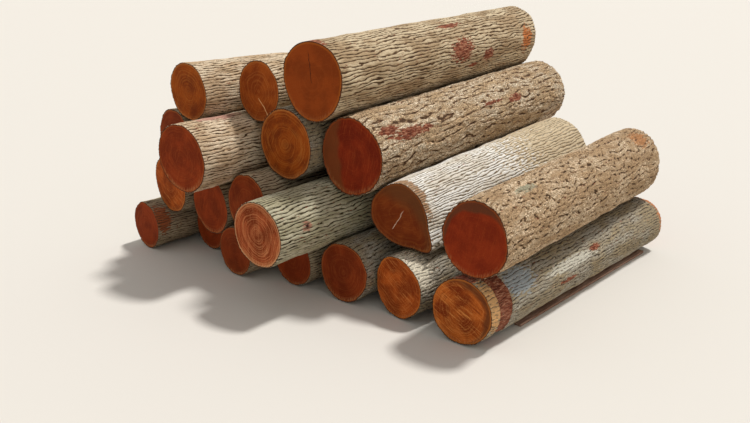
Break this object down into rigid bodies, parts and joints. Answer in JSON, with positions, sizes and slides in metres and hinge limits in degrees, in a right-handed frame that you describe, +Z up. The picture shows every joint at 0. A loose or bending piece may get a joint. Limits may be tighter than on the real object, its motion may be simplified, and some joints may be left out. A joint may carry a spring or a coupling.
{
  "type": "heap of logs",
  "caption": "Heap of sawn red hardwood logs lying side by side in stepped courses, bark on, with a thin sawn batten on the ground beside it.",
  "frame": {"origin": "middle of the heap's footprint, on the ground", "axes": "+Y along the logs, away from the sawn ends that face the viewer; +X across the heap, towards the low end; +Z up"},
  "size_m": [2.9713, 2.8444, 1.6652],
  "materials": {
    "bark_grey": "furrowed grey bark, red-brown sawn ends",
    "bark_brown": "flaky brown bark, dark red sawn ends",
    "bark_pale": "finely furrowed pale bark, red-brown sawn ends",
    "sawn_wood": "rough-sawn red-brown wood"
  },
  "bodies": {
    "root": {"log_corner": "bark_grey", "log_ground_2": "bark_grey", "log_ground_3": "bark_grey", "log_ground_4": "bark_grey", "log_ground_5": "bark_grey", "log_ground_6": "bark_grey", "log_ground_7": "bark_grey", "log_askew": "bark_brown", "log_pale": "bark_pale", "log_jutting": "bark_grey", "log_second_4": "bark_grey", "log_second_5": "bark_grey", "log_second_6": "bark_grey", "log_third_1": "bark_brown", "log_third_2": "bark_brown", "log_third_3": "bark_pale", "log_third_4": "bark_grey", "log_top": "bark_pale", "log_top_2": "bark_pale", "log_top_3": "bark_pale", "edge_batten": "sawn_wood"}
  },
  "joints": []
}
